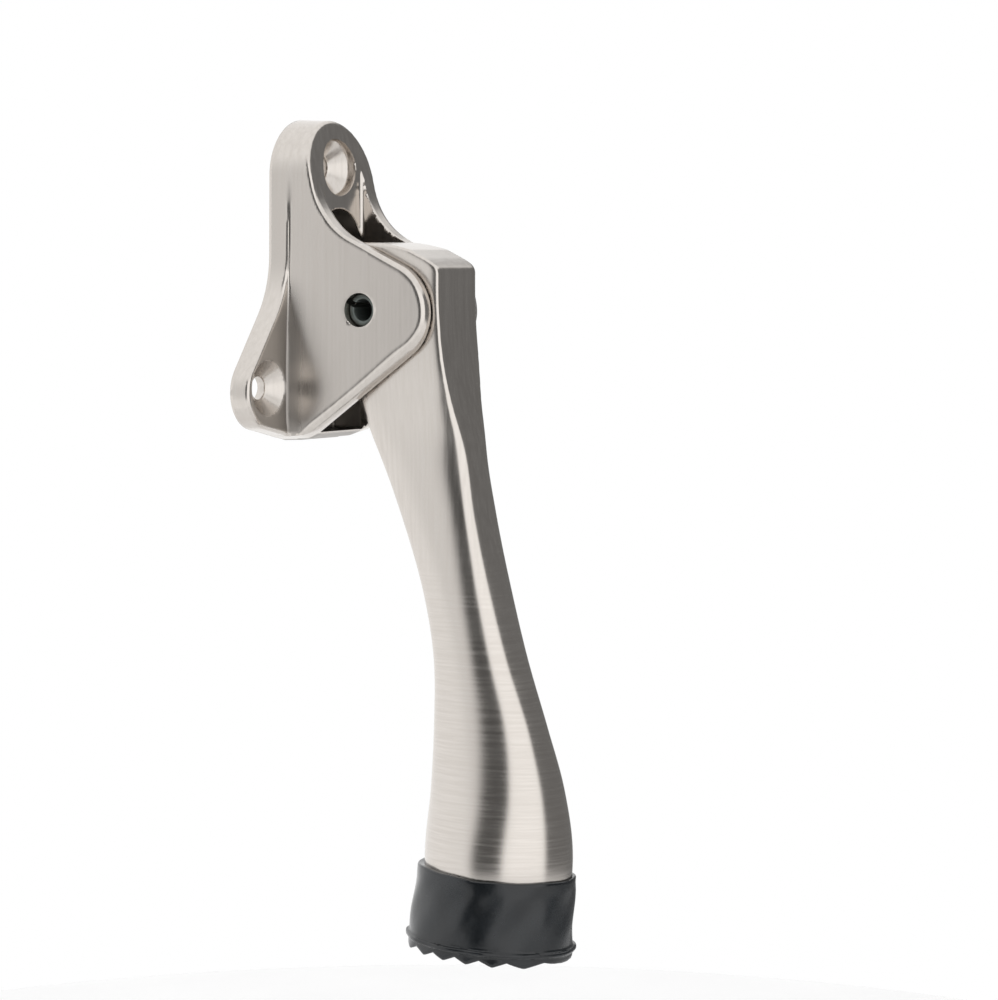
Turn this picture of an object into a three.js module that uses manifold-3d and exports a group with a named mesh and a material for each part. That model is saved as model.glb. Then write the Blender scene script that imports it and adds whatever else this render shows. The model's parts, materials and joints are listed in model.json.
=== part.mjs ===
// Kick-down floor door holder: a cast bracket that screws to the foot of a door, and a cast arm that
// swings on a slotted spring pin until its rubber boot stands on the floor.
//
// Millimetres. X runs across the door, Y into the door, Z up. The origin is on the mounting face, on
// the metal between the upper screw hole and the arm's pocket. The object stands out towards -Y.
// The arm, pin and detent share a group at the pivot, whose coordinates are (X, towards door, up).

import * as THREE from "three";
import { mergeVertices } from "three/addons/utils/BufferGeometryUtils.js";
import Module from "manifold-3d";

const wasm = await Module();
wasm.setup();

// ---- Driving dimensions ----

const GAP = 0.3; // clearance between neighbouring pieces
const OVERCUT = 1; // how far a cutting tool runs past the metal

const PIVOT_FROM_DOOR = 20.4;
const PIVOT_BELOW_ORIGIN = 22;

// Bracket, in pivot coordinates: y is measured towards the door, z up.
const LOBE = { top: 36.7, radius: 11.1, frontY: 13.3, frontLean: 13 }; // upper lobe
const NOSE = { y: -4.6, z: -0.4, radius: 9.9, halfWidth: 9.8 }; // rounded tip of the cheeks
const CHEEK_TOP_SLOPE = 24.1; // degrees from level
const CHEEK_BOTTOM_SLOPE = 35.5;
const CHEEK_SWEEP_RADIUS = 15; // hollow curve from the cheek up to the lobe
const BASE = { bottom: -25.6, halfWidth: 11.3 }; // at the door
const RECESS = { halfWidth: 7.2, floorFromDoor: 9 }; // between the cheeks
const POCKET = { top: 19.3, bottom: -23.7, wall: 2.2 }; // for the arm's heel, as wide as the recess
const EAR = { x: 16.8, z: -15.8, radius: 7.4, thickness: 4.4, underside: 12 }; // lower lobes
const EAR_FLARE = { radius: 20, slope: 53.8 };

// Countersunk screw holes.
const SCREW = { radius: 2.25, headRadius: 5.5, depth: 2.5 };
const UPPER_HOLE = { z: 27.4, seatFromDoor: 7 };
const LOWER_HOLES = { x: 17.5, z: -15 };

// Slotted spring pin.
const PIN = { radius: 3.175, bore: 2.05, halfLength: 9.1, slotHalfWidth: 0.55, slotAngle: 28 };

// Sprung detent ball in a cross bore of the arm head, and its track in the near cheek.
const SWING = 155; // degrees from down to up
const BALL = { radius: 2.4, tip: -7.4, orbit: 8.5, restAngle: 80 };
const BALL_BORE = { radius: 2.7, floor: 4.2 };
const TRACK = { depth: 0.5, halfWidth: 1.5 };
const UP_DIMPLE = { depth: 0.9, radius: 1.4 };
const SPRING = { radius: 1.8, wire: 0.35, turns: 5 };

// Arm: sections from the head down. y is the section's centre, a and b its half width across the door
// and half depth out from it, and squareness the exponent of its outline (2 is an ellipse).
const ARM_SECTIONS = [
  { z: 14, y: -1.9, a: 6.9, b: 13.9, squareness: 16 },
  { z: 0, y: -1.9, a: 6.9, b: 13.9, squareness: 16 },
  { z: -10, y: -5, a: 6.7, b: 11.7, squareness: 14 },
  { z: -17, y: -7.1, a: 6.1, b: 10.8, squareness: 9 },
  { z: -25, y: -9.3, a: 5.4, b: 10.6, squareness: 5.6 },
  { z: -39, y: -13.6, a: 5.6, b: 8.9, squareness: 4.2 },
  { z: -56, y: -18.5, a: 6.2, b: 8.4, squareness: 3 },
  { z: -66, y: -20.8, a: 6.5, b: 9.1, squareness: 2.7 },
  { z: -79, y: -23.1, a: 7.2, b: 11.5, squareness: 2.4 },
  { z: -91, y: -24.7, a: 9.2, b: 13.6, squareness: 2.2 },
  { z: -105, y: -24.9, a: 11.5, b: 15.1, squareness: 2 },
  { z: -109, y: -24.8, a: 11.3, b: 14.9, squareness: 2 },
  { z: -118, y: -23.9, a: 10.6, b: 14, squareness: 2 },
];

// Side view of the head: crown, the shoulder and edge at its front, and its round back.
const HEAD = {
  crown: [0, 14],
  crownFront: [-9, 11.5],
  crownBack: [8, 11.9],
  shoulder: [-12.5, 9.9],
  edge: [-15.9, 7.4],
  back: 12,
  heel: [2.4, -24],
};

// Rubber boot, in its own frame at the centre of its rim, tipped forward a little.
const BOOT = { y: -24.5, rimZ: -106.7, tilt: 3, depth: 16.4 };
const BOOT_RIM = { a: 12.4, b: 16.1 };
const BOOT_SOLE = { a: 12.7, b: 16.9, shift: 1 }; // the heel bulges towards the door
const BOOT_LIP = { depth: 13.4, reach: 0.9, thickness: 0.9 };
const TREAD = { pitch: 5.1, depth: 1.1, count: 7 };

// ---- Finishes ----

const satinNickel = () => new THREE.MeshStandardMaterial({ color: 0xc4bdb6, roughness: 0.36, metalness: 1 });
const blackSteel = () => new THREE.MeshStandardMaterial({ color: 0x2b2f2d, roughness: 0.5, metalness: 1 });
const springSteel = () => new THREE.MeshStandardMaterial({ color: 0x8f9296, roughness: 0.3, metalness: 1 });
const blackRubber = () => new THREE.MeshStandardMaterial({ color: 0x24282b, roughness: 0.75, metalness: 0 });

// ---- Solids ----

const radians = THREE.MathUtils.degToRad;

// The geometry with only its positions left, and each shared corner held once.
function welded(geometry) {
  const bare = geometry.clone();
  bare.deleteAttribute("normal");
  bare.deleteAttribute("uv");
  return mergeVertices(bare, 1e-4);
}

function solidOf(geometry) {
  const merged = welded(geometry);
  return new wasm.Manifold(
    new wasm.Mesh({
      numProp: 3,
      vertProperties: merged.attributes.position.array,
      triVerts: new Uint32Array(merged.index.array),
    }),
  );
}

function geometryOf(solid) {
  const { vertProperties, triVerts, numProp } = solid.getMesh();
  const geometry = new THREE.BufferGeometry();
  const buffer = new THREE.InterleavedBuffer(vertProperties, numProp);
  geometry.setAttribute("position", new THREE.InterleavedBufferAttribute(buffer, 3, 0));
  geometry.setIndex(new THREE.BufferAttribute(triVerts, 1));
  const flat = geometry.toNonIndexed();
  flat.computeVertexNormals();
  return flat;
}

function extruded(shape, depth, curveSegments = 12) {
  return new THREE.ExtrudeGeometry(shape, { depth, bevelEnabled: false, curveSegments });
}

// An outline in (y, z), extruded across the door between two x values.
function acrossX(shape, fromX, toX, curveSegments) {
  const geometry = extruded(shape, toX - fromX, curveSegments);
  const axes = new THREE.Matrix4().makeBasis(
    new THREE.Vector3(0, 1, 0),
    new THREE.Vector3(0, 0, 1),
    new THREE.Vector3(1, 0, 0),
  );
  return solidOf(geometry.applyMatrix4(axes).translate(fromX, 0, 0));
}

// An outline in (x, z), extruded out from the door: from and to are distances from the door.
function outFromDoor(shape, from, to, curveSegments) {
  const geometry = extruded(shape, to - from, curveSegments).rotateX(Math.PI / 2);
  return solidOf(geometry.translate(0, PIVOT_FROM_DOOR - from, 0));
}

// A round bar across the door, centred at (y, z).
function barAcrossX(radius, fromX, toX, y, z, segments = 40) {
  const bar = new THREE.CylinderGeometry(radius, radius, toX - fromX, segments).rotateZ(-Math.PI / 2);
  return solidOf(bar.translate((fromX + toX) / 2, y, z));
}

function mesh(name, geometry, material) {
  const made = new THREE.Mesh(geometry, material);
  made.name = name;
  return made;
}

// ---- Bracket ----

// Where the line through point a at angle alpha meets the line through b at angle beta (radians).
function crossing(a, alpha, b, beta) {
  const t = ((b.x - a.x) * Math.sin(beta) - (b.y - a.y) * Math.cos(beta)) / Math.sin(beta - alpha);
  return new THREE.Vector2(a.x + t * Math.cos(alpha), a.y + t * Math.sin(alpha));
}

// Side view of the bracket: lobe front, sweep, cheek top, nose, cheek bottom and back.
function bracketSideShape() {
  const topSlope = radians(CHEEK_TOP_SLOPE);
  const bottomSlope = radians(CHEEK_BOTTOM_SLOPE);
  const lobeSlope = Math.PI / 2 - radians(LOBE.frontLean);
  const noseTopAngle = Math.PI / 2 + topSlope;
  const noseBottomAngle = -Math.PI / 2 - bottomSlope;
  const noseTop = new THREE.Vector2(
    NOSE.y + NOSE.radius * Math.cos(noseTopAngle),
    NOSE.z + NOSE.radius * Math.sin(noseTopAngle),
  );
  const noseBottom = new THREE.Vector2(
    NOSE.y + NOSE.radius * Math.cos(noseBottomAngle),
    NOSE.z + NOSE.radius * Math.sin(noseBottomAngle),
  );
  const lobeTop = new THREE.Vector2(LOBE.frontY, LOBE.top);
  const corner = crossing(noseTop, topSlope, lobeTop, lobeSlope);
  const tangent = CHEEK_SWEEP_RADIUS * Math.tan((lobeSlope - topSlope) / 2);
  const sweepY = corner.x - tangent * Math.cos(topSlope) - CHEEK_SWEEP_RADIUS * Math.sin(topSlope);
  const sweepZ = corner.y - tangent * Math.sin(topSlope) + CHEEK_SWEEP_RADIUS * Math.cos(topSlope);
  const base = new THREE.Vector2(PIVOT_FROM_DOOR, BASE.bottom);
  const bottomCorner = crossing(noseBottom, -bottomSlope, base, 0);

  const side = new THREE.Shape();
  side.moveTo(base.x, base.y);
  side.lineTo(PIVOT_FROM_DOOR, LOBE.top);
  side.lineTo(lobeTop.x, lobeTop.y);
  side.absarc(sweepY, sweepZ, CHEEK_SWEEP_RADIUS, lobeSlope - Math.PI / 2, topSlope - Math.PI / 2, true);
  side.absarc(NOSE.y, NOSE.z, NOSE.radius, noseTopAngle, 2 * Math.PI + noseBottomAngle, false);
  side.lineTo(bottomCorner.x, bottomCorner.y);
  return side;
}

// Plan view of the cheeks, which draw in from the door to the nose.
function draftShape() {
  const nose = NOSE.y - NOSE.radius - OVERCUT;
  const plan = new THREE.Shape();
  plan.moveTo(-BASE.halfWidth, PIVOT_FROM_DOOR);
  plan.lineTo(-NOSE.halfWidth, nose);
  plan.lineTo(NOSE.halfWidth, nose);
  plan.lineTo(BASE.halfWidth, PIVOT_FROM_DOOR);
  return plan;
}

// Where the sloping underside of a lower lobe leaves its round end, as (x, z).
function undersideTouch() {
  const angle = radians(EAR.underside) - Math.PI / 2;
  return new THREE.Vector2(EAR.x + EAR.radius * Math.cos(angle), EAR.z + EAR.radius * Math.sin(angle));
}

// Half the width of the level part of the underside.
function flatHalfWidth() {
  const touch = undersideTouch();
  return touch.x - (touch.y - BASE.bottom) / Math.tan(radians(EAR.underside));
}

// Front view of the upper lobe and the column below it.
function lobeShape() {
  const flat = flatHalfWidth();
  const corner = BASE.bottom + (BASE.halfWidth - flat) * Math.tan(radians(EAR.underside));
  const front = new THREE.Shape();
  front.moveTo(-flat, BASE.bottom);
  front.lineTo(flat, BASE.bottom);
  front.lineTo(BASE.halfWidth, corner);
  front.lineTo(LOBE.radius, LOBE.top - LOBE.radius);
  front.absarc(0, LOBE.top - LOBE.radius, LOBE.radius, 0, Math.PI, false);
  front.lineTo(-BASE.halfWidth, corner);
  return front;
}

// Front view of the flange: a column that flares into the two lower lobes.
function flangeShape() {
  const slope = radians(EAR_FLARE.slope);
  const earTop = Math.PI / 2 - slope;
  const touch = new THREE.Vector2(
    EAR.x + EAR.radius * Math.cos(earTop),
    EAR.z + EAR.radius * Math.sin(earTop),
  );
  const corner = crossing(touch, Math.PI - slope, new THREE.Vector2(BASE.halfWidth, 0), Math.PI / 2);
  const turn = Math.PI / 2 - slope;
  const arcZ = corner.y + EAR_FLARE.radius * Math.tan(turn / 2);
  const arcX = BASE.halfWidth + EAR_FLARE.radius;
  const earBottom = radians(EAR.underside) - Math.PI / 2;
  const flat = flatHalfWidth();

  const front = new THREE.Shape();
  front.moveTo(-flat, BASE.bottom);
  front.lineTo(flat, BASE.bottom);
  front.absarc(EAR.x, EAR.z, EAR.radius, earBottom, earTop, false);
  front.absarc(arcX, arcZ, EAR_FLARE.radius, Math.PI + turn, Math.PI, true);
  front.absarc(0, LOBE.top - LOBE.radius, LOBE.radius, 0, Math.PI, false);
  front.absarc(-arcX, arcZ, EAR_FLARE.radius, 0, -turn, true);
  front.absarc(-EAR.x, EAR.z, EAR.radius, Math.PI - earTop, Math.PI - earBottom, false);
  return front;
}

// Front view of the pocket in the base that the arm's heel turns in. It has a round top.
function pocketShape() {
  const front = new THREE.Shape();
  front.moveTo(-RECESS.halfWidth, POCKET.bottom);
  front.lineTo(RECESS.halfWidth, POCKET.bottom);
  front.absarc(0, POCKET.top - RECESS.halfWidth, RECESS.halfWidth, 0, Math.PI, false);
  return front;
}

// A countersunk screw hole through metal whose front is the given distance from the door.
function screwHole(x, z, front) {
  const outline = [
    [0, -OVERCUT],
    [SCREW.radius, -OVERCUT],
    [SCREW.radius, front - SCREW.depth],
    [SCREW.headRadius, front],
    [SCREW.headRadius, front + PIVOT_FROM_DOOR],
    [0, front + PIVOT_FROM_DOOR],
  ];
  const tool = new THREE.LatheGeometry(outline.map(([r, d]) => new THREE.Vector2(r, d)), 28);
  return solidOf(tool.rotateX(Math.PI).translate(x, PIVOT_FROM_DOOR, z));
}

// A point on the detent ball's path about the pivot, as (y, z).
function onOrbit(angle, radius = BALL.orbit) {
  return new THREE.Vector2(radius * Math.cos(radians(angle)), radius * Math.sin(radians(angle)));
}

// The shallow curved track in the near cheek, with a deeper dimple where the arm is up.
function detentTrack() {
  const start = radians(BALL.restAngle);
  const end = radians(BALL.restAngle - SWING);
  const startPoint = onOrbit(BALL.restAngle);
  const endPoint = onOrbit(BALL.restAngle - SWING);
  const track = new THREE.Shape();
  track.absarc(0, 0, BALL.orbit + TRACK.halfWidth, start, end, true);
  track.absarc(endPoint.x, endPoint.y, TRACK.halfWidth, end, end - Math.PI, true);
  track.absarc(0, 0, BALL.orbit - TRACK.halfWidth, end, start, false);
  track.absarc(startPoint.x, startPoint.y, TRACK.halfWidth, start + Math.PI, start, true);
  const face = -RECESS.halfWidth;
  const groove = acrossX(track, face - TRACK.depth, face + OVERCUT, 16);
  const dimple = barAcrossX(UP_DIMPLE.radius, face - UP_DIMPLE.depth, face, endPoint.x, endPoint.y, 20);
  return groove.add(dimple);
}

function bracket() {
  const nose = PIVOT_FROM_DOOR - NOSE.y + NOSE.radius;
  const halfWidth = BASE.halfWidth + OVERCUT;
  const side = acrossX(bracketSideShape(), -halfWidth, halfWidth, 14);
  const height = LOBE.top - BASE.bottom + 2 * OVERCUT;
  const draft = solidOf(extruded(draftShape(), height).translate(0, 0, BASE.bottom - OVERCUT));
  const column = side.intersect(draft).intersect(outFromDoor(lobeShape(), 0, nose + OVERCUT, 16));
  const flange = outFromDoor(flangeShape(), 0, EAR.thickness, 14);
  const recess = new THREE.BoxGeometry(2 * RECESS.halfWidth, nose, 2 * height);
  recess.translate(0, PIVOT_FROM_DOOR - RECESS.floorFromDoor - nose / 2, 0);
  const pocket = outFromDoor(pocketShape(), POCKET.wall, nose, 14);
  const pinHole = barAcrossX(PIN.radius + GAP, -halfWidth, halfWidth, 0, 0);
  return column
    .add(flange)
    .subtract(solidOf(recess))
    .subtract(pocket)
    .subtract(pinHole)
    .subtract(detentTrack())
    .subtract(screwHole(0, UPPER_HOLE.z, UPPER_HOLE.seatFromDoor))
    .subtract(screwHole(LOWER_HOLES.x, LOWER_HOLES.z, EAR.thickness))
    .subtract(screwHole(-LOWER_HOLES.x, LOWER_HOLES.z, EAR.thickness));
}

// ---- Arm ----

// One property of the arm's sections as a smooth curve down the arm.
function sectionValue(key, z) {
  const last = ARM_SECTIONS.length - 1;
  let i = ARM_SECTIONS.findIndex((section) => section.z <= z);
  if (i < 0) i = last;
  if (i === 0) i = 1;
  const at = (k) => ARM_SECTIONS[THREE.MathUtils.clamp(k, 0, last)];
  const slope = (k) => (at(k + 1)[key] - at(k - 1)[key]) / (at(k + 1).z - at(k - 1).z);
  const from = at(i - 1);
  const to = at(i);
  const span = to.z - from.z;
  const t = (z - from.z) / span;
  const blend = t * t * (3 - 2 * t);
  const rise = t * (1 - t) * (1 - t) * span * slope(i - 1);
  const fall = t * t * (t - 1) * span * slope(i);
  return from[key] * (1 - blend) + to[key] * blend + rise + fall;
}

// A tapering column of super-elliptical sections between two heights, grown outwards by a margin.
function armColumn(top, bottom, rows, margin = 0) {
  const column = welded(new THREE.CylinderGeometry(1, 1, 1, 48, rows));
  const points = column.attributes.position;
  for (let i = 0; i < points.count; i += 1) {
    const z = THREE.MathUtils.lerp(bottom, top, points.getY(i) + 0.5);
    const power = 2 / sectionValue("squareness", z);
    const bend = (value) => Math.sign(value) * Math.abs(value) ** power;
    const x = bend(points.getX(i)) * (sectionValue("a", z) + margin);
    const y = sectionValue("y", z) - bend(points.getZ(i)) * (sectionValue("b", z) + margin);
    points.setXYZ(i, x, y, z);
  }
  return solidOf(column);
}

// Side view that trims the top and back of the head and leaves the rest of the arm whole.
function headTrimShape() {
  const { z: foot } = ARM_SECTIONS.at(-1);
  const far = PIVOT_FROM_DOOR * 3;
  const trim = new THREE.Shape();
  trim.moveTo(-far, foot - OVERCUT);
  trim.lineTo(far, foot - OVERCUT);
  trim.lineTo(far, HEAD.heel[1]);
  trim.lineTo(...HEAD.heel);
  trim.quadraticCurveTo(HEAD.back, HEAD.heel[1] / 4, HEAD.back, HEAD.back / 6);
  trim.quadraticCurveTo(HEAD.back, HEAD.crownBack[1] - 1, ...HEAD.crownBack);
  trim.quadraticCurveTo(...HEAD.crown, ...HEAD.crownFront);
  trim.lineTo(...HEAD.shoulder);
  trim.quadraticCurveTo(HEAD.edge[0] + 0.4, HEAD.edge[1] + 1, ...HEAD.edge);
  trim.lineTo(-far, HEAD.edge[1]);
  return trim;
}

function arm() {
  const { z: bottom } = ARM_SECTIONS.at(-1);
  const { z: top } = ARM_SECTIONS[0];
  const halfWidth = BASE.halfWidth;
  const trim = acrossX(headTrimShape(), -2 * halfWidth, 2 * halfWidth, 8);
  const pinHole = barAcrossX(PIN.radius + GAP, -halfWidth, halfWidth, 0, 0);
  const ball = onOrbit(BALL.restAngle);
  const ballBore = barAcrossX(BALL_BORE.radius, -halfWidth, BALL_BORE.floor, ball.x, ball.y, 24);
  return armColumn(top, bottom, 32).intersect(trim).subtract(pinHole).subtract(ballBore);
}

// ---- Pin and detent ----

// A tube slit along its length.
function pivotPin() {
  const outer = Math.asin(PIN.slotHalfWidth / PIN.radius);
  const inner = Math.asin(PIN.slotHalfWidth / PIN.bore);
  const middle = radians(PIN.slotAngle);
  const section = new THREE.Shape();
  section.absarc(0, 0, PIN.radius, middle + outer, middle + 2 * Math.PI - outer, false);
  section.absarc(0, 0, PIN.bore, middle + 2 * Math.PI - inner, middle + inner, true);
  return acrossX(section, -PIN.halfLength, PIN.halfLength, 36);
}

function detentBall() {
  const ball = new THREE.SphereGeometry(BALL.radius, 24, 16);
  return ball.translate(BALL.tip + BALL.radius, onOrbit(BALL.restAngle).x, onOrbit(BALL.restAngle).y);
}

// Coil between two x values, about an axis along X.
class Coil extends THREE.Curve {
  constructor(from, to, centre) {
    super();
    Object.assign(this, { from, to, centre });
  }

  getPoint(t, target = new THREE.Vector3()) {
    const angle = 2 * Math.PI * SPRING.turns * t;
    const x = THREE.MathUtils.lerp(this.from, this.to, t);
    return target.set(
      x,
      this.centre.x + SPRING.radius * Math.cos(angle),
      this.centre.y + SPRING.radius * Math.sin(angle),
    );
  }
}

function detentSpring() {
  const from = BALL.tip + 2 * BALL.radius + GAP + SPRING.wire;
  const to = BALL_BORE.floor - GAP - SPRING.wire;
  const wire = new THREE.Shape().absarc(0, 0, SPRING.wire, 0, 2 * Math.PI, false);
  return new THREE.ExtrudeGeometry(wire, {
    steps: 14 * SPRING.turns,
    curveSegments: 4,
    bevelEnabled: false,
    extrudePath: new Coil(from, to, onOrbit(BALL.restAngle)),
  });
}

// ---- Boot ----

// An oval slab between two depths below the rim, which follows the boot's flare.
function bootSlab(fromDepth, toDepth, reach = 0) {
  const slab = welded(new THREE.CylinderGeometry(1, 1, 1, 48, 1));
  const points = slab.attributes.position;
  for (let i = 0; i < points.count; i += 1) {
    const depth = points.getY(i) > 0 ? fromDepth : toDepth;
    const share = depth / BOOT.depth;
    const a = THREE.MathUtils.lerp(BOOT_RIM.a, BOOT_SOLE.a, share) + reach;
    const b = THREE.MathUtils.lerp(BOOT_RIM.b, BOOT_SOLE.b, share) + reach;
    points.setXYZ(i, a * points.getX(i), BOOT_SOLE.shift * share - b * points.getZ(i), -depth);
  }
  return solidOf(slab);
}

// A V groove across the sole, which leaves a tread on each side of it.
function treadGroove(y) {
  const half = TREAD.pitch / 2;
  const groove = new THREE.Shape();
  groove.moveTo(y - half, -BOOT.depth - OVERCUT);
  groove.lineTo(y + half, -BOOT.depth - OVERCUT);
  groove.lineTo(y + half, -BOOT.depth);
  groove.lineTo(y, -BOOT.depth + TREAD.depth);
  groove.lineTo(y - half, -BOOT.depth);
  return acrossX(groove, -2 * BOOT_SOLE.a, 2 * BOOT_SOLE.a);
}

function rubberBoot() {
  const lip = bootSlab(BOOT_LIP.depth, BOOT_LIP.depth + BOOT_LIP.thickness, BOOT_LIP.reach);
  let boot = bootSlab(0, BOOT.depth).add(lip);
  for (let i = 0; i < TREAD.count; i += 1) {
    const y = BOOT_SOLE.shift + (i - (TREAD.count - 1) / 2) * TREAD.pitch;
    boot = boot.subtract(treadGroove(y));
  }
  const placed = new THREE.Matrix4()
    .makeRotationX(radians(BOOT.tilt))
    .setPosition(0, BOOT.y, BOOT.rimZ);
  const outside = solidOf(geometryOf(boot).applyMatrix4(placed));
  const { z: foot } = ARM_SECTIONS.at(-1);
  return outside.subtract(armColumn(BOOT.rimZ + 4, foot - GAP, 8, GAP));
}

// ---- Assembly ----

const holder = new THREE.Group();
const pivot = new THREE.Group();
pivot.position.set(0, -PIVOT_FROM_DOOR, -PIVOT_BELOW_ORIGIN);
pivot.add(mesh("bracket", geometryOf(bracket()), satinNickel()));
pivot.add(mesh("arm", geometryOf(arm()), satinNickel()));
pivot.add(mesh("pivot_pin", geometryOf(pivotPin()), blackSteel()));
pivot.add(mesh("detent_ball", detentBall(), springSteel()));
pivot.add(mesh("detent_spring", detentSpring(), springSteel()));
pivot.add(mesh("rubber_boot", geometryOf(rubberBoot()), blackRubber()));
holder.add(pivot);

export default holder;
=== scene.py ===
# A kick-down door holder: the cast bracket, arm and rubber boot as fine rounded surfaces around the
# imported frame. Each casting is described as a distance field, so that every edge has its own radius,
# and is meshed by a surface net. Shapes are in millimetres about the pivot: x across the door, y
# towards the door, z up. Everything reaches Blender in metres, in the frame's own coordinates.

import json
import math

import bmesh
import bpy
import numpy as np
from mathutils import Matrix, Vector


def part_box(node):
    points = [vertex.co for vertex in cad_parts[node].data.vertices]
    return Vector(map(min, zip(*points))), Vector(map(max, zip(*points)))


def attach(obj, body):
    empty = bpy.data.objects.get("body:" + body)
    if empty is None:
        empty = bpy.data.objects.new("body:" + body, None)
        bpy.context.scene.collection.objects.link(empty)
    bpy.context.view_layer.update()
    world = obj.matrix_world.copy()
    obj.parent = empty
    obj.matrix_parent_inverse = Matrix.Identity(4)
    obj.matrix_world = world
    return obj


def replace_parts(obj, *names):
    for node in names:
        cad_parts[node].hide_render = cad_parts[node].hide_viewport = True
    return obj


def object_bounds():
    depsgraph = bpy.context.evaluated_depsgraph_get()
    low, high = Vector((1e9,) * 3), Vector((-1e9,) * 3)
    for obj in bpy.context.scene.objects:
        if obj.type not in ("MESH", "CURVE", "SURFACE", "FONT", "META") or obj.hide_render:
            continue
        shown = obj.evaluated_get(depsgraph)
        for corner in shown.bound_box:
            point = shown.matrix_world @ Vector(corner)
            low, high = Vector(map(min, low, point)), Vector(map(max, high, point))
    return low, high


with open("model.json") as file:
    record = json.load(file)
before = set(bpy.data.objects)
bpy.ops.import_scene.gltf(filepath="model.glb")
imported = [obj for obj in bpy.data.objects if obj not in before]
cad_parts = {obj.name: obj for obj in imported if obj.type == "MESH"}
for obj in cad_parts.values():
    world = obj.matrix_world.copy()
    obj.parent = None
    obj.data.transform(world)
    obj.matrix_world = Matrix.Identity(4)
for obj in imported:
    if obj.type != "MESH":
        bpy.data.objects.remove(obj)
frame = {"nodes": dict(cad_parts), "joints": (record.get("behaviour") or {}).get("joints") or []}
cad_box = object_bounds()

# ---- Driving dimensions, in millimetres about the pivot ----

MM = 0.001
SWING = next(joint for joint in frame["joints"] if joint["name"] == "arm_swing")
PIVOT = np.array(SWING["pos_m"])
DOOR = -PIVOT[1] / MM  # the door's face


def box_mm(node):
    """Lowest and highest corner of a frame node, in millimetres about the pivot."""
    low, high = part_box(node)
    return (np.array(low) - PIVOT) / MM, (np.array(high) - PIVOT) / MM


BRACKET_LOW, BRACKET_HIGH = box_mm("bracket")
ARM_LOW, ARM_HIGH = box_mm("arm")
BOOT_LOW, BOOT_HIGH = box_mm("rubber_boot")
PIN_HIGH = box_mm("pivot_pin")[1]

# Bracket.
LOBE_TOP = BRACKET_HIGH[2]
LOBE_RADIUS = 11.1
LOBE_FRONT = 13.3
LOBE_LEAN = math.radians(13)
BASE_BOTTOM = BRACKET_LOW[2]
BASE_HALF_WIDTH = 11.3
NOSE_Y, NOSE_Z, NOSE_RADIUS, NOSE_HALF_WIDTH = -4.6, -0.4, 9.9, 9.8
TOP_SLOPE = math.radians(24.1)
BOTTOM_SLOPE = math.radians(35.5)
SWEEP_RADIUS = 15
RECESS_HALF_WIDTH = 7.2
RECESS_FLOOR = DOOR - 9
RECESS_FILLET = 0.8
POCKET_TOP, POCKET_BOTTOM, POCKET_WALL = 19.3, -23.7, 2.2
BLOCK_ROUNDING, NOSE_ROUNDING, BOTTOM_ROUNDING = 0.6, 0.6, 1.2  # all over, and what two edges add
FLANGE_ROUNDING = 0.7
BACK_ROUNDING = 0.3
EAR_X, EAR_Z, EAR_THICKNESS = 16.8, -15.8, 4.4
EAR_RADIUS = BRACKET_HIGH[0] - EAR_X
EAR_UNDERSIDE = math.radians(12)
EAR_FILLET = 0.25
CHEEK_FLARE, CHEEK_FLARE_REACH = 0.7, 2.4  # the cheeks spread a little where they meet the flange
FLARE_RADIUS = 20
FLARE_SLOPE = math.radians(53.8)

# Screw holes and pin.
SCREW_RADIUS, HEAD_RADIUS, CONE_DEPTH = 2.25, 5.5, 2.5
SCREW_EDGE = 0.12
UPPER_HOLE_Z, UPPER_SEAT = 27.4, 7
LOWER_HOLE_X, LOWER_HOLE_Z = 17.5, -15
PIN_RADIUS = PIN_HIGH[2]
PIN_BORE = 2.05
PIN_SLOT = math.radians(28)
PIN_SLOT_WIDTH = 1.1
PIN_CHAMFER = 0.35
PIN_FIT = 0.06

# Detent: the ball's path about the pivot, and its bore in the arm.
DETENT_ORBIT = 8.5
DETENT_START = math.radians(80)
DETENT_SWEEP = math.radians(SWING["range_deg"][1])
DETENT_HALF_WIDTH, DETENT_DEPTH = 1.5, 0.5
BALL_BORE_RADIUS, BALL_BORE_FLOOR = 2.7, 4.2

# Arm sections from the head down: height, centre, half width, half depth and squareness, which is the
# power of a super-ellipse.
SECTIONS = np.array(
    [
        (14, -1.9, 6.9, 13.9, 24),
        (0, -1.9, 6.9, 13.9, 24),
        (-10, -5, 6.7, 11.7, 20),
        (-17, -7.1, 6.1, 10.8, 11),
        (-25, -9.3, 5.4, 10.6, 5.6),
        (-39, -13.6, 5.6, 8.9, 4.2),
        (-56, -18.5, 6.2, 8.4, 3),
        (-66, -20.8, 6.5, 9.1, 2.7),
        (-79, -23.1, 7.2, 11.5, 2.4),
        (-91, -24.7, 9.2, 13.6, 2.2),
        (-105, -24.9, 11.5, 15.1, 2),
        (-109, -24.8, 11.3, 14.9, 2),
        (-118, -23.9, 10.6, 14, 2),
    ],
    float,
)
SECTION_CORE = 0.3  # distances are measured from no nearer the axis than this share of a section

# Boot, in its own frame at the centre of its rim. Its rim and sole are half widths across and along.
BOOT_Y, BOOT_RIM_Z = -24.5, -106.7
BOOT_TILT = math.radians(3)
BOOT_DEPTH = 16.4
BOOT_RIM = (12.4, 16.1)
BOOT_SOLE = (12.7, 16.9)
BOOT_SHIFT = 1
LIP_DEPTH, LIP_REACH, LIP_THICKNESS = 13.8, 0.8, 0.45
TREAD_PITCH, TREAD_DEPTH = 5.1, 1.1
WALL_WAVE, WALL_RIPPLE = 0.1, 0.06
RIM_WAVE, RIM_RIPPLE = 0.12, 0.07
BOOT_FIT = 0.05

# ---- Distance fields: negative inside the metal ----


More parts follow.
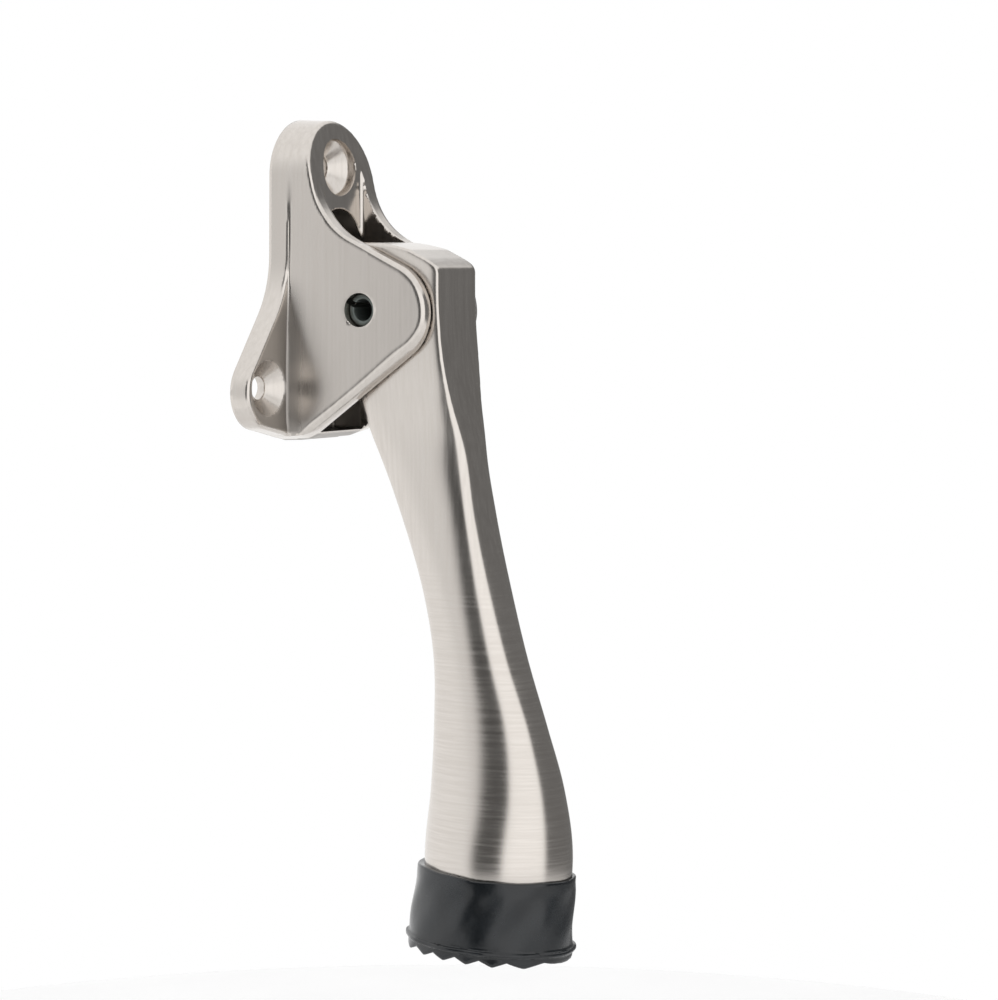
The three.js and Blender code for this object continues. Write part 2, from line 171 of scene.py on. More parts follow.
def both(a, b, radius=0.0):
    """What two shapes share, with the edge between them rounded."""
    a, b = a + radius, b + radius
    return np.minimum(np.maximum(a, b), 0) + np.hypot(np.maximum(a, 0), np.maximum(b, 0)) - radius


def either(a, b, radius=0.0):
    """Two shapes joined, with a fillet in the corner between them."""
    return -both(-a, -b, radius)


def without(a, b, radius=0.0):
    """The first shape with the second cut out of it, and the new edge rounded."""
    return both(a, -b, radius)


def ease(value, start, end):
    """A smooth step from 0 at start to 1 at end."""
    t = np.clip((value - start) / (end - start), 0, 1)
    return t * t * (3 - 2 * t)


def outline_distance(outline, u, v):
    """Signed distance to a closed outline in a plane."""
    u, v = np.broadcast_arrays(u, v)
    nearest = np.full(u.shape, np.inf)
    inside = np.zeros(u.shape, bool)
    for (u0, v0), (u1, v1) in zip(outline, outline[1:] + outline[:1]):
        du, dv = u1 - u0, v1 - v0
        length = du * du + dv * dv
        if length == 0:
            continue
        t = np.clip(((u - u0) * du + (v - v0) * dv) / length, 0, 1)
        nearest = np.minimum(nearest, (u - u0 - t * du) ** 2 + (v - v0 - t * dv) ** 2)
        if dv != 0:
            inside ^= ((v0 <= v) != (v1 <= v)) & (u < u0 + (v - v0) * du / dv)
    return np.where(inside, -1, 1) * np.sqrt(nearest)


def arc(u, v, radius, start, end, step=math.radians(2.5)):
    """Points along an arc, both ends included."""
    count = max(2, math.ceil(abs(end - start) / step) + 1)
    angles = np.linspace(start, end, count)
    return [(u + radius * math.cos(t), v + radius * math.sin(t)) for t in angles]


def bezier(p0, p1, p2, count=12):
    """Points along a quadratic curve, without the first."""
    p0, p1, p2 = map(np.array, (p0, p1, p2))
    ts = np.linspace(0, 1, count + 1)[1:]
    return [tuple(p0 * (1 - t) ** 2 + 2 * p1 * t * (1 - t) + p2 * t * t) for t in ts]


def crossing(a, alpha, b, beta):
    """Where the line through a at angle alpha meets the line through b at angle beta."""
    t = ((b[0] - a[0]) * math.sin(beta) - (b[1] - a[1]) * math.cos(beta)) / math.sin(beta - alpha)
    return a[0] + t * math.cos(alpha), a[1] + t * math.sin(alpha)


# ---- Surface net ----

NET_STEP, BOOT_NET_STEP = 0.4, 0.3  # size of a cell
CRISP = math.radians(55)  # edges sharper than this are shaded as edges
GRADIENT_STEP = 0.01
LEAST_STEEPNESS = 0.2
SOFTNESS = 0.04  # pull towards the middle of a cell's crossings, so that flat cells are solvable
STRAY = 0.7  # how far from that middle a corner may lie, in cells


def onto_surface(field, points, reach):
    """Points moved onto the field's surface along its gradient, and the unit gradients there."""
    x, y, z = points.T
    d = GRADIENT_STEP
    slope = np.stack(
        [
            field(x + d, y, z) - field(x - d, y, z),
            field(x, y + d, z) - field(x, y - d, z),
            field(x, y, z + d) - field(x, y, z - d),
        ],
        1,
    ) / (2 * d)
    steepness = np.maximum(np.linalg.norm(slope, axis=1), LEAST_STEEPNESS)[:, None]
    normal = slope / steepness
    move = np.clip(field(x, y, z)[:, None] / steepness, -reach, reach)
    return points - normal * move, normal


def surface_net(field, low, high, step):
    """Corners and quads of a field's surface inside a box. A cell's corner is where the tangent planes
    at its edge crossings meet, so that edges stay crisp."""
    axes = [np.arange(a - 2 * step, b + 3 * step, step) for a, b in zip(low, high)]
    x, y, z = np.meshgrid(*axes, indexing="ij", sparse=True)
    values = np.broadcast_to(field(x, y, z), [len(a) for a in axes])
    solid = values < 0
    cells = tuple(n - 1 for n in values.shape)
    crossings, rings = [], []
    for axis in range(3):
        first = [slice(None)] * 3
        second = [slice(None)] * 3
        first[axis], second[axis] = slice(0, -1), slice(1, None)
        where = np.argwhere(solid[tuple(first)] != solid[tuple(second)])
        upper = where.copy()
        upper[:, axis] += 1
        f0, f1 = values[tuple(where.T)], values[tuple(upper.T)]
        place = where.astype(float)
        place[:, axis] += f0 / (f0 - f1)
        crossings.append(place * step + np.array([a[0] for a in axes]))
        ring = []
        for back_b, back_c in ((0, 0), (1, 0), (1, 1), (0, 1)):
            cell = where.copy()
            cell[:, (axis + 1) % 3] -= back_b
            cell[:, (axis + 2) % 3] -= back_c
            ring.append(np.ravel_multi_index(cell.T, cells))
        ring = np.stack(ring, 1)
        rings.append(np.where((f0 < 0)[:, None], ring, ring[:, ::-1]))
    crossings, normals = onto_surface(field, np.concatenate(crossings), step / 2)
    rings = np.concatenate(rings)
    quads = np.unique(rings, return_inverse=True)[1].reshape(rings.shape)

    def gathered(amounts):
        """The sum over each cell's edge crossings."""
        return np.bincount(quads.ravel(), weights=np.repeat(amounts, 4))

    count = gathered(np.ones(len(crossings)))
    middle = np.stack([gathered(crossings[:, k]) for k in range(3)], 1) / count[:, None]
    heights = (normals * crossings).sum(1)
    planes = np.array([[gathered(normals[:, j] * normals[:, k]) for k in range(3)] for j in range(3)])
    planes = planes.transpose(2, 0, 1)
    target = np.stack([gathered(normals[:, k] * heights) for k in range(3)], 1)
    softness = SOFTNESS * count
    planes = planes + softness[:, None, None] * np.eye(3)
    target = target + softness[:, None] * middle
    points = np.linalg.solve(planes, target[:, :, None])[:, :, 0]
    points = middle + np.clip(points - middle, -STRAY * step, STRAY * step)
    return points, quads


def piece_from(name, points, faces, body, slot, material, dullness_and_shade=None):
    """A smooth-shaded piece that rides on a body, from corners in millimetres about the pivot. The
    dullness and shade function of x, y and z says how far the surface was left unpolished there, which
    makes it rougher, and how far its colour is darkened as painted shade."""
    mesh = bpy.data.meshes.new(name)
    mesh.from_pydata((points * MM + PIVOT).tolist(), [], [list(map(int, face)) for face in faces])
    mesh.materials.append(material)
    if dullness_and_shade is not None:
        mesh.attributes.new("dullness_and_shade", "FLOAT", "POINT").data.foreach_set("value", dullness_and_shade(*points.T))
    editable = bmesh.new()
    editable.from_mesh(mesh)
    bmesh.ops.recalc_face_normals(editable, faces=editable.faces)
    for face in editable.faces:
        face.smooth = True
    for edge in editable.edges:
        edge.smooth = edge.calc_face_angle(0) < CRISP
    editable.to_mesh(mesh)
    editable.free()
    piece = bpy.data.objects.new(name, mesh)
    bpy.context.scene.collection.objects.link(piece)
    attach(piece, body)
    return piece


# ---- Bracket ----


def side_outline():
    """Side view: lobe front, sweep, cheek top, nose, cheek bottom and back."""
    lobe_slope = math.pi / 2 - LOBE_LEAN
    top_angle = math.pi / 2 + TOP_SLOPE
    bottom_angle = 3 * math.pi / 2 - BOTTOM_SLOPE
    nose_top = (NOSE_Y + NOSE_RADIUS * math.cos(top_angle), NOSE_Z + NOSE_RADIUS * math.sin(top_angle))
    nose_bottom = (
        NOSE_Y + NOSE_RADIUS * math.cos(bottom_angle),
        NOSE_Z + NOSE_RADIUS * math.sin(bottom_angle),
    )
    past = 6  # the outline runs past the door and the lobe, which other outlines trim
    lobe_top = (LOBE_FRONT + past * math.cos(lobe_slope), LOBE_TOP + past * math.sin(lobe_slope))
    corner = crossing(nose_top, TOP_SLOPE, lobe_top, lobe_slope)
    tangent = SWEEP_RADIUS * math.tan((lobe_slope - TOP_SLOPE) / 2)
    sweep_y = corner[0] - tangent * math.cos(TOP_SLOPE) - SWEEP_RADIUS * math.sin(TOP_SLOPE)
    sweep_z = corner[1] - tangent * math.sin(TOP_SLOPE) + SWEEP_RADIUS * math.cos(TOP_SLOPE)
    foot = crossing(nose_bottom, -BOTTOM_SLOPE, (0, BASE_BOTTOM), 0)
    return [
        (DOOR + past, BASE_BOTTOM),
        (DOOR + past, lobe_top[1]),
        lobe_top,
        *arc(sweep_y, sweep_z, SWEEP_RADIUS, lobe_slope - math.pi / 2, TOP_SLOPE - math.pi / 2),
        *arc(NOSE_Y, NOSE_Z, NOSE_RADIUS, top_angle, bottom_angle),
        foot,
    ]


EAR_TOP_TURN = math.pi / 2 - FLARE_SLOPE
EAR_BOTTOM_TURN = EAR_UNDERSIDE - math.pi / 2
EAR_FOOT = (
    EAR_X + EAR_RADIUS * math.cos(EAR_BOTTOM_TURN),
    EAR_Z + EAR_RADIUS * math.sin(EAR_BOTTOM_TURN),
)
FLAT_HALF_WIDTH = EAR_FOOT[0] - (EAR_FOOT[1] - BASE_BOTTOM) / math.tan(EAR_UNDERSIDE)


def lobe_outline():
    """Front view of the upper lobe and the column below it."""
    corner = BASE_BOTTOM + (BASE_HALF_WIDTH - FLAT_HALF_WIDTH) * math.tan(EAR_UNDERSIDE)
    return [
        (FLAT_HALF_WIDTH, BASE_BOTTOM),
        (BASE_HALF_WIDTH, corner),
        *arc(0, LOBE_TOP - LOBE_RADIUS, LOBE_RADIUS, 0, math.pi),
        (-BASE_HALF_WIDTH, corner),
        (-FLAT_HALF_WIDTH, BASE_BOTTOM),
    ]


def flange_outline():
    """Front view of the flange's right half, closed some way to the left of the middle."""
    turn = EAR_TOP_TURN
    touch = (EAR_X + EAR_RADIUS * math.cos(turn), EAR_Z + EAR_RADIUS * math.sin(turn))
    corner = crossing(touch, math.pi - FLARE_SLOPE, (BASE_HALF_WIDTH, 0), math.pi / 2)
    flare_x = BASE_HALF_WIDTH + FLARE_RADIUS
    flare_z = corner[1] + FLARE_RADIUS * math.tan(turn / 2)
    return [
        (-FLAT_HALF_WIDTH, BASE_BOTTOM),
        (FLAT_HALF_WIDTH, BASE_BOTTOM),
        *arc(EAR_X, EAR_Z, EAR_RADIUS, EAR_BOTTOM_TURN, turn),
        *arc(flare_x, flare_z, FLARE_RADIUS, math.pi + turn, math.pi),
        *arc(0, LOBE_TOP - LOBE_RADIUS, LOBE_RADIUS, 0, math.pi),
    ]


def screw_hole(x, y, z, hole_x, hole_z, seat):
    """A countersunk hole whose rim is the given distance from the door."""
    across = np.hypot(x - hole_x, z - hole_z)
    depth = DOOR - y - (seat - CONE_DEPTH)
    cone = (across - SCREW_RADIUS - depth * (HEAD_RADIUS - SCREW_RADIUS) / CONE_DEPTH) * math.sqrt(0.5)
    return np.minimum(across - SCREW_RADIUS, both(cone, across - HEAD_RADIUS, 0.1))


def detent_track(x, y, z):
    """The shallow track in the near cheek that the ball runs in."""
    angle = (DETENT_START - np.arctan2(z, y)) % (2 * math.pi)
    on_arc = np.abs(np.hypot(y, z) - DETENT_ORBIT)
    ends = [DETENT_START, DETENT_START - DETENT_SWEEP]
    to_end = np.minimum(
        *[np.hypot(y - DETENT_ORBIT * math.cos(t), z - DETENT_ORBIT * math.sin(t)) for t in ends]
    )
    along = np.where(angle <= DETENT_SWEEP, on_arc, to_end) - DETENT_HALF_WIDTH
    return both(along, np.abs(x + RECESS_HALF_WIDTH) - DETENT_DEPTH, 0.3)


SIDE = side_outline()
LOBE = lobe_outline()
FLANGE = flange_outline()


def bracket_field(x, y, z):
    """The block with its cheeks, joined to the flange, then the recess, pocket and holes cut out."""
    side = outline_distance(SIDE, y, z)
    slab = DOOR - y - EAR_THICKNESS
    nose_end = ease(y, 4, -10)
    bottom_edge = ease(z, -1, -9) * ease(y, 19, 10)
    draft = (BASE_HALF_WIDTH - NOSE_HALF_WIDTH) / (DOOR - NOSE_Y + NOSE_RADIUS)
    flare = CHEEK_FLARE * ease(z, 8, -13) * ease(z, BASE_BOTTOM, BASE_BOTTOM + 5)
    flare = flare * np.exp(-np.maximum(slab, 0) / CHEEK_FLARE_REACH)
    lateral = outline_distance(LOBE, x, z) + draft * (DOOR - y) - flare
    rounding = BLOCK_ROUNDING + NOSE_ROUNDING * nose_end + BOTTOM_ROUNDING * bottom_edge
    block = both(side, lateral, rounding)
    outline = outline_distance(FLANGE, np.abs(x), z) + draft * (DOOR - y)
    flange = both(outline, either(slab, block, EAR_FILLET), FLANGE_ROUNDING * ease(z, 10, 3))
    metal = both(np.minimum(block, flange), y - DOOR, BACK_ROUNDING)
    recess = both(np.abs(x) - RECESS_HALF_WIDTH, y - RECESS_FLOOR, RECESS_FILLET)
    metal = without(metal, recess, 0.25)
    pocket = np.hypot(x, np.maximum(z - (POCKET_TOP - RECESS_HALF_WIDTH), 0)) - RECESS_HALF_WIDTH
    pocket = both(pocket, np.maximum(POCKET_BOTTOM - z, y - DOOR + POCKET_WALL), 0.5)
    metal = without(metal, pocket, 0.3)
    metal = without(metal, np.hypot(y, z) - (PIN_RADIUS + PIN_FIT), 0.06)
    metal = without(metal, detent_track(x, y, z))
    metal = without(metal, screw_hole(x, y, z, 0, UPPER_HOLE_Z, UPPER_SEAT), SCREW_EDGE)
    lower_holes = screw_hole(np.abs(x), y, z, LOWER_HOLE_X, LOWER_HOLE_Z, EAR_THICKNESS)
    return without(metal, lower_holes, SCREW_EDGE)


def bracket_dullness_and_shade(x, y, z):
    """The lower lobes' corners and the pocket for the arm's heel, which the brush did not reach:
    rougher there, and darkened with painted shade.
    """
    width = np.abs(x)
    # Painted shade: the ears' front faces and the corner where they meet the cheeks are darkened,
    # except in the screw seats.
    on_lobe = ease(-outline_distance(FLANGE, width, z), 0.4, 1.2) * ease(z, 9, -4) * (width > 9)
    corner = on_lobe * ease(y, DOOR - EAR_THICKNESS - 5, DOOR - EAR_THICKNESS)
    reamed = np.hypot(width - LOWER_HOLE_X, z - LOWER_HOLE_Z) < HEAD_RADIUS - 0.2
    # Painted shade in the pocket for the arm's heel, where the recess lies in shadow.
    pocket = ease(y, RECESS_FLOOR, RECESS_FLOOR + 0.6) * (width < RECESS_HALF_WIDTH + 0.2)
    return np.maximum(corner * ~reamed, pocket * (z < POCKET_TOP + 0.4))


# ---- Arm ----

CROWN_BACK, CROWN, CROWN_FRONT = (8, 11.9), (0, 14), (-9, 11.5)
SHOULDER, EDGE = (-12.5, 9.9), (-15.9, 7.4)
HEAD_BACK, HEEL = 12, (2.4, -24)


def head_outline():
    """Side view of the head's crown, front edge and round back, open over the rest of the arm."""
    far, foot = 60, ARM_LOW[2] - 1
    return [
        (-far, foot - 1),
        (far, foot - 1),
        (far, HEEL[1]),
        HEEL,
        *bezier(HEEL, (HEAD_BACK, HEEL[1] / 4), (HEAD_BACK, HEAD_BACK / 6)),
        *bezier((HEAD_BACK, HEAD_BACK / 6), (HEAD_BACK, CROWN_BACK[1] - 1), CROWN_BACK),
        *bezier(CROWN_BACK, CROWN, CROWN_FRONT),
        SHOULDER,
        *bezier(SHOULDER, (EDGE[0] + 0.4, EDGE[1] + 1), EDGE),
        (-far, EDGE[1]),
    ]


def section_value(column, z):
    """One measure of the arm's sections, as a smooth curve over height."""
    heights, values = SECTIONS[::-1, 0], SECTIONS[::-1, column]
    slopes = np.gradient(values, heights)
    z = np.clip(z, heights[0], heights[-1])
    i = np.clip(np.searchsorted(heights, z) - 1, 0, len(heights) - 2)
    span = heights[i + 1] - heights[i]
    t = (z - heights[i]) / span
    blend = t * t * (3 - 2 * t)
    rise = t * (1 - t) ** 2 * span * slopes[i] - t * t * (1 - t) * span * slopes[i + 1]
    return values[i] * (1 - blend) + values[i + 1] * blend + rise


def shaft_field(x, y, z):
    """The arm as a column of super-elliptical sections."""
    middle, half_width, half_depth, power = (section_value(k, z) for k in (1, 2, 3, 4))
    across, along = np.abs(x), np.abs(y - middle)
    size = ((across / half_width) ** power + (along / half_depth) ** power) ** (1 / power)
    return np.hypot(across, along) * (1 - 1 / np.maximum(size, SECTION_CORE))


HEAD = head_outline()


def arm_field(x, y, z):
    """The head and shaft, with the pin's bore and the ball's blind bore cut out."""
    metal = both(shaft_field(x, y, z), outline_distance(HEAD, y, z), 0.6)
    metal = both(metal, ARM_LOW[2] - z, 1.5)
    metal = without(metal, np.hypot(y, z) - (PIN_RADIUS + PIN_FIT), 0.2)
    ball_y, ball_z = DETENT_ORBIT * math.cos(DETENT_START), DETENT_ORBIT * math.sin(DETENT_START)
    bore = both(np.hypot(y - ball_y, z - ball_z) - BALL_BORE_RADIUS, x - BALL_BORE_FLOOR)
    return without(metal, bore, 0.2)


# ---- Boot ----


def boot_field(x, y, z):
    """A cup with slightly wavy walls, a lip round its sole, and treads with V-shaped grooves."""
    dy, dz = y - BOOT_Y, z - BOOT_RIM_Z
    along = dy * math.cos(BOOT_TILT) + dz * math.sin(BOOT_TILT)
    depth = dy * math.sin(BOOT_TILT) - dz * math.cos(BOOT_TILT)
    share = np.clip(depth / BOOT_DEPTH, 0, 1)
    angle = np.arctan2(along, x)
    wave = WALL_WAVE * np.sin(5 * angle + 1.3) * np.sin(0.5 * depth)
    wave = wave + WALL_RIPPLE * np.sin(11 * angle + 0.6 * depth)
    half_x = BOOT_RIM[0] + (BOOT_SOLE[0] - BOOT_RIM[0]) * share
    half_y = BOOT_RIM[1] + (BOOT_SOLE[1] - BOOT_RIM[1]) * share
    centre = BOOT_SHIFT * share
    reach = np.hypot(x, along - centre)
    size = np.hypot(x / half_x, (along - centre) / half_y)
    wall = reach * (1 - 1 / np.maximum(size, SECTION_CORE)) - wave * ease(depth, 0, 3)
    tooth = (along - BOOT_SHIFT) / TREAD_PITCH
    groove = np.sqrt((1 - 2 * np.abs(tooth - np.round(tooth))) ** 2 + 0.01)
    sole = depth - BOOT_DEPTH + TREAD_DEPTH * groove
    rim = -depth - RIM_WAVE * np.sin(3 * angle + 0.5) - RIM_RIPPLE * np.sin(9 * angle)
    body = both(both(wall, sole, 0.5), rim, 0.35)
    flash = LIP_REACH * (0.8 + 0.3 * np.sin(4 * angle + 2) * np.sin(7 * angle))
    lip = both(wall - flash, np.abs(depth - LIP_DEPTH) - LIP_THICKNESS, 0.35)
    cavity = both(shaft_field(x, y, z) - BOOT_FIT, ARM_LOW[2] - BOOT_FIT - z)
    return without(either(body, lip, 0.3), cavity, 0.1)


# ---- Spring pin ----


def spring_pin(material):
    """A rolled tube with a slit along it and chamfered ends."""
    end = PIN_HIGH[0]
    ring = [
        (-end, PIN_BORE + PIN_CHAMFER / 2),
        (-end, PIN_RADIUS - PIN_CHAMFER),
        (PIN_CHAMFER - end, PIN_RADIUS),
        (end - PIN_CHAMFER, PIN_RADIUS),
        (end, PIN_RADIUS - PIN_CHAMFER),
        (end, PIN_BORE + PIN_CHAMFER / 2),
        (end - PIN_CHAMFER / 2, PIN_BORE),
        (PIN_CHAMFER / 2 - end, PIN_BORE),
    ]
    turns = 64
    points = []
    for i in range(turns + 1):
        for x, radius in ring:
            half_slot = math.asin(PIN_SLOT_WIDTH / 2 / radius)
            angle = PIN_SLOT + half_slot + (2 * math.pi - 2 * half_slot) * i / turns
            points.append((x, radius * math.cos(angle), radius * math.sin(angle)))
    sides = len(ring)
    faces = [tuple(range(sides)), tuple(turns * sides + k for k in reversed(range(sides)))]
    for i in range(turns):
        for k in range(sides):
            a, b = i * sides + k, i * sides + (k + 1) % sides
            faces.append((a, a + sides, b + sides, b))
    return piece_from("spring_pin", np.array(points), faces, "bracket", "black_spring_pin", material)


# ---- Materials ----


def new_material(name, **inputs):
    """A material, its node tree and its shader, which gets the given socket values."""
    material = bpy.data.materials.new(name)
    material.use_nodes = True
    shader = material.node_tree.nodes["Principled BSDF"]
    for socket, value in inputs.items():
        shader.inputs[socket.replace("_", " ")].default_value = value
    return material, material.node_tree, shader


def noise(tree, scale, detail=3.0, roughness=0.5, seed=0.0):
    """Noise over the object's own coordinates: scale is features per metre along X, Y and Z."""
    place = tree.nodes.new("ShaderNodeTexCoord")
    mapping = tree.nodes.new("ShaderNodeMapping")
    mapping.inputs["Scale"].default_value = scale
    mapping.inputs["Location"].default_value = (seed, seed, seed)
    texture = tree.nodes.new("ShaderNodeTexNoise")
    texture.inputs["Scale"].default_value = 1
    texture.inputs["Detail"].default_value = detail
    texture.inputs["Roughness"].default_value = roughness
    tree.links.new(place.outputs["Object"], mapping.inputs["Vector"])
    tree.links.new(mapping.outputs["Vector"], texture.inputs["Vector"])
    return texture.outputs["Fac"]


def ramp(tree, value, stops):
    """A smooth ramp from a value to colours, given as (place, colour) pairs."""
    node = tree.nodes.new("ShaderNodeValToRGB")
    node.color_ramp.interpolation = "EASE"
    elements = node.color_ramp.elements
    while len(elements) < len(stops):
        elements.new(0.5)
    for element, (place, colour) in zip(elements, stops):
        element.position = place
        element.color = (*colour, 1)
    tree.links.new(value, node.inputs["Fac"])
    return node.outputs["Color"]


def grey(value):
    """A colour without a hue."""
    return (value, value, value)


def mixed(tree, kind, a, b, factor):
    """Two colours blended, in one of the mix node's kinds."""
    node = tree.nodes.new("ShaderNodeMix")
    node.data_type = "RGBA"
    node.blend_type = kind
    node.inputs["Factor"].default_value = factor
    tree.links.new(a, node.inputs[6])
    tree.links.new(b, node.inputs[7])
    return node.outputs[2]


def bumped(tree, height, distance, strength, normal=None):
    """A bump of the given depth in metres."""
    node = tree.nodes.new("ShaderNodeBump")
    node.inputs["Distance"].default_value = distance
    node.inputs["Strength"].default_value = strength
    tree.links.new(height, node.inputs["Height"])
    if normal is not None:
        tree.links.new(normal, node.inputs["Normal"])
    return node.outputs["Normal"]


def satin_nickel(name, grain, foot_grain, change):
    """Satin nickel plate. Grain is features per metre along X, Y and Z, low along the brushing. It
    turns to the foot's grain between two heights, given in metres in the frame."""
    material, tree, shader = new_material(name, Metallic=1.0)
    place = tree.nodes.new("ShaderNodeTexCoord")
    split = tree.nodes.new("ShaderNodeSeparateXYZ")
    height = tree.nodes.new("ShaderNodeMapRange")
    height.inputs["From Min"].default_value, height.inputs["From Max"].default_value = change
    tree.links.new(place.outputs["Object"], split.inputs["Vector"])
    tree.links.new(split.outputs["Z"], height.inputs["Value"])
    streaks = mixed(tree, "MIX", noise(tree, grain), noise(tree, foot_grain, seed=3.1), 0.5)
    tree.links.new(height.outputs["Result"], streaks.node.inputs["Factor"])
    cloud = noise(tree, (60, 60, 40), seed=7.7)
    warm = ramp(tree, streaks, [(0.25, (0.60, 0.56, 0.52)), (0.75, (0.66, 0.62, 0.58))])
    tone = ramp(tree, cloud, [(0.3, grey(0.96)), (0.7, grey(1.0))])
    # The dullness and shade attribute darkens the base colour as painted shade in corners and recesses,
    # and raises the roughness there.
    dullness_and_shade = tree.nodes.new("ShaderNodeAttribute")
    dullness_and_shade.attribute_name = "dullness_and_shade"
    painted_shade = ramp(tree, dullness_and_shade.outputs["Fac"], [(0, grey(1)), (1, grey(0.55))])
    plate = mixed(tree, "MULTIPLY", warm, tone, 1.0)
    tree.links.new(mixed(tree, "MULTIPLY", plate, painted_shade, 1.0), shader.inputs["Base Color"])
    rough = ramp(tree, mixed(tree, "MIX", streaks, cloud, 0.35), [(0.3, grey(0.18)), (0.7, grey(0.26))])
    dull = ramp(tree, dullness_and_shade.outputs["Fac"], [(0, grey(0)), (1, grey(0.15))])
    tree.links.new(mixed(tree, "ADD", rough, dull, 1.0), shader.inputs["Roughness"])
    casting = bumped(tree, cloud, 0.00025, 0.12)
    tree.links.new(bumped(tree, streaks, 0.000004, 0.4, casting), shader.inputs["Normal"])
    return material


def dark_steel(name, colour, roughness):
    """Oxidised or bright steel with fine turning marks and slight mottling."""
    material, tree, shader = new_material(name, Metallic=1.0)
    marks = noise(tree, (1400, 5000, 5000))
    cloud = noise(tree, (500, 500, 500), detail=4, seed=2.4)
    darker = tuple(0.7 * c for c in colour)
    tree.links.new(ramp(tree, cloud, [(0.3, darker), (0.7, colour)]), shader.inputs["Base Color"])
    rough = ramp(tree, marks, [(0.3, grey(roughness - 0.06)), (0.7, grey(roughness + 0.08))])
    tree.links.new(rough, shader.inputs["Roughness"])
    tree.links.new(bumped(tree, marks, 0.00001, 0.4), shader.inputs["Normal"])
    return material


def moulded_rubber(name):
    """Black moulded rubber: a dull skin with shinier patches, faint bloom and fine texture."""
    material, tree, shader = new_material(name, Specular_IOR_Level=0.55)
    bloom = noise(tree, (120, 120, 90), detail=4, roughness=0.6)
    grain = noise(tree, (2200, 2200, 2200), seed=5.2)
    dents = noise(tree, (260, 260, 180), detail=2, seed=1.7)
    colour = ramp(tree, bloom, [(0.3, (0.004, 0.0055, 0.007)), (0.75, (0.012, 0.015, 0.018))])
    tree.links.new(colour, shader.inputs["Base Color"])
    rough = ramp(tree, mixed(tree, "MIX", bloom, grain, 0.3), [(0.3, grey(0.15)), (0.7, grey(0.3))])
    tree.links.new(rough, shader.inputs["Roughness"])
    soft = bumped(tree, dents, 0.0004, 0.12)
    tree.links.new(bumped(tree, grain, 0.00001, 0.2, soft), shader.inputs["Normal"])
    return material


# ---- Pieces ----

ALONG, ROUND = (1500, 1500, 35), (90, 90, 2600)  # brushed down the part, and round the arm's foot
bracket_metal = satin_nickel("satin_nickel_bracket", ALONG, ALONG, (-0.05, 0))
arm_metal = satin_nickel("satin_nickel_arm", ALONG, ROUND, (-0.06, -0.085))

net = surface_net(bracket_field, BRACKET_LOW, BRACKET_HIGH, NET_STEP)
# The bracket carries painted shade in its lower lobes' corners and in the heel pocket.
casting = piece_from("bracket_casting", *net, "bracket", "satin_nickel", bracket_metal, bracket_dullness_and_shade)
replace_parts(casting, "bracket")

net = surface_net(arm_field, ARM_LOW, ARM_HIGH, NET_STEP)
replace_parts(piece_from("arm_casting", *net, "arm", "satin_nickel", arm_metal), "arm")

net = surface_net(boot_field, BOOT_LOW, BOOT_HIGH, BOOT_NET_STEP)
boot = piece_from("boot_moulding", *net, "arm", "black_rubber", moulded_rubber("moulded_rubber"))
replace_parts(boot, "rubber_boot")

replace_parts(spring_pin(dark_steel("black_oxide", (0.17, 0.19, 0.18), 0.48)), "pivot_pin")

bright_steel = dark_steel("bright_steel", (0.5, 0.5, 0.51), 0.22)
for node in ("detent_ball", "detent_spring"):
    frame["nodes"][node].data.materials.clear()
    frame["nodes"][node].data.materials.append(bright_steel)

# ---- Stage, light and camera ----

FLOOR_DROP, FLOOR_RADIUS = 0.05, 0.22  # metres; the table top is below the holder, which hangs
DARK, GAP, FRONT, BACK, OVERHEAD = 0.2, 0.1, 1.35, 1.1, 1.12  # brightness of the room's parts
LENS, SENSOR = 122.4, 36
CAMERA_AZIMUTH, CAMERA_DROP = math.radians(-58), math.radians(4.205)
CAMERA_FROM_PIVOT = (-0.5460, -0.3662, 0.0114)


def pale_floor():
    """A round pale table top."""
    material, tree, shader = new_material("pale_table", Roughness=0.6)
    pale = ramp(tree, noise(tree, (30, 30, 30)), [(0.3, grey(0.95)), (0.7, grey(0.97))])
    tree.links.new(pale, shader.inputs["Base Color"])
    low, high = cad_box
    bpy.ops.mesh.primitive_circle_add(vertices=96, radius=FLOOR_RADIUS, fill_type="NGON")
    floor = bpy.context.object
    floor.name = "floor"
    floor.location = ((low.x + high.x) / 2, (low.y + high.y) / 2, low.z - FLOOR_DROP)
    floor.data.materials.append(material)


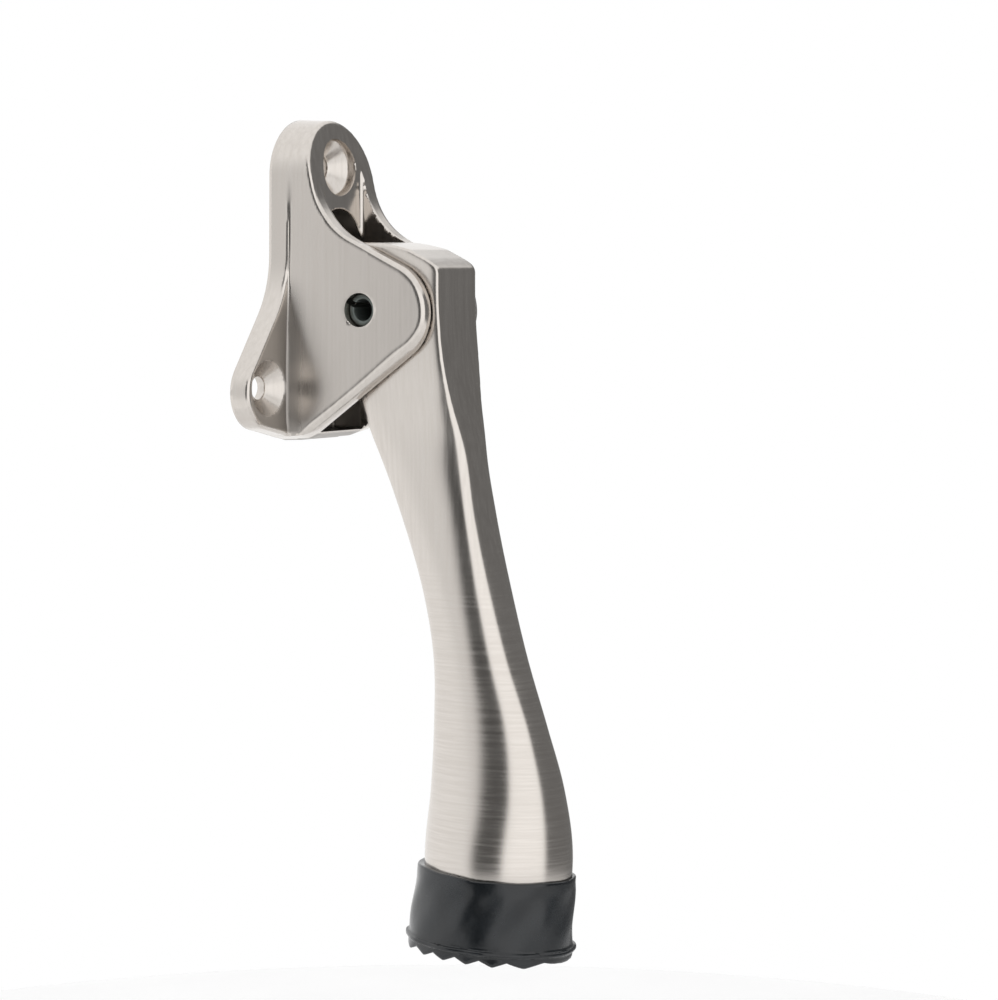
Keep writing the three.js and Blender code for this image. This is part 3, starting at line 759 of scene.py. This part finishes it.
def studio_world():
    """A white room with soft lights, dark to the right and in a gap on the left."""
    world = bpy.data.worlds.new("studio")
    bpy.context.scene.world = world
    world.use_nodes = True
    tree = world.node_tree
    tree.nodes.clear()
    place = tree.nodes.new("ShaderNodeTexCoord")
    radial = tree.nodes.new("ShaderNodeTexGradient")
    radial.gradient_type = "RADIAL"
    split = tree.nodes.new("ShaderNodeSeparateXYZ")
    tree.links.new(place.outputs["Generated"], radial.inputs["Vector"])
    tree.links.new(place.outputs["Generated"], split.inputs["Vector"])

    def turn(degrees):
        """Where a compass angle from +X lies on the radial gradient."""
        return (degrees / 360 + 0.5) % 1

    around = ramp(
        tree,
        radial.outputs["Fac"],
        [
            (0, grey(GAP)),
            (turn(186), grey(GAP)),
            (turn(195), grey(FRONT)),
            (turn(256), grey(FRONT)),
            (turn(270), grey(DARK)),
            (turn(12), grey(DARK)),
            (turn(28), grey(BACK)),
            (turn(147), grey(BACK)),
            (turn(160), grey(GAP)),
            (1, grey(GAP)),
        ],
    )

    def over(value, start, end, low, high):
        """One colour below a height and another above it, changing between two values."""
        step = ramp(tree, value, [(start, grey(0)), (end, grey(1))])
        blend = mixed(tree, "MIX", low, high, 0)
        tree.links.new(step, blend.node.inputs["Factor"])
        return blend

    overhead = tree.nodes.new("ShaderNodeRGB")
    overhead.outputs["Color"].default_value = (*grey(OVERHEAD), 1)
    below = tree.nodes.new("ShaderNodeMath")
    below.operation = "MULTIPLY"
    below.inputs[1].default_value = -1
    tree.links.new(split.outputs["Z"], below.inputs[0])
    sky = over(split.outputs["Z"], 0.44, 0.6, around, overhead.outputs["Color"])
    sky = over(below.outputs["Value"], 0.22, 0.36, sky, overhead.outputs["Color"])
    room = tree.nodes.new("ShaderNodeBackground")
    tree.links.new(sky, room.inputs["Color"])
    backdrop = tree.nodes.new("ShaderNodeBackground")
    backdrop.inputs["Color"].default_value = (1, 1, 1, 1)
    seen = tree.nodes.new("ShaderNodeLightPath")
    choice = tree.nodes.new("ShaderNodeMixShader")
    tree.links.new(seen.outputs["Is Camera Ray"], choice.inputs["Fac"])
    tree.links.new(room.outputs["Background"], choice.inputs[1])
    tree.links.new(backdrop.outputs["Background"], choice.inputs[2])
    output = tree.nodes.new("ShaderNodeOutputWorld")
    tree.links.new(choice.outputs["Shader"], output.inputs["Surface"])


def main_camera():
    """A long lens from the front left, a little above the pivot."""
    camera = bpy.data.objects.new("camera", bpy.data.cameras.new("camera"))
    bpy.context.scene.collection.objects.link(camera)
    camera.data.lens = LENS
    camera.data.sensor_width = SENSOR
    level = math.cos(CAMERA_DROP)
    forward = Vector(
        (-math.sin(CAMERA_AZIMUTH) * level, math.cos(CAMERA_AZIMUTH) * level, -math.sin(CAMERA_DROP))
    )
    camera.location = Vector(PIVOT) + Vector(CAMERA_FROM_PIVOT)
    camera.rotation_euler = forward.to_track_quat("-Z", "Y").to_euler()
    camera.data.clip_start, camera.data.clip_end = 0.01, 20
    bpy.context.scene.camera = camera


pale_floor()
studio_world()
main_camera()
bpy.context.scene.view_settings.view_transform = "Standard"
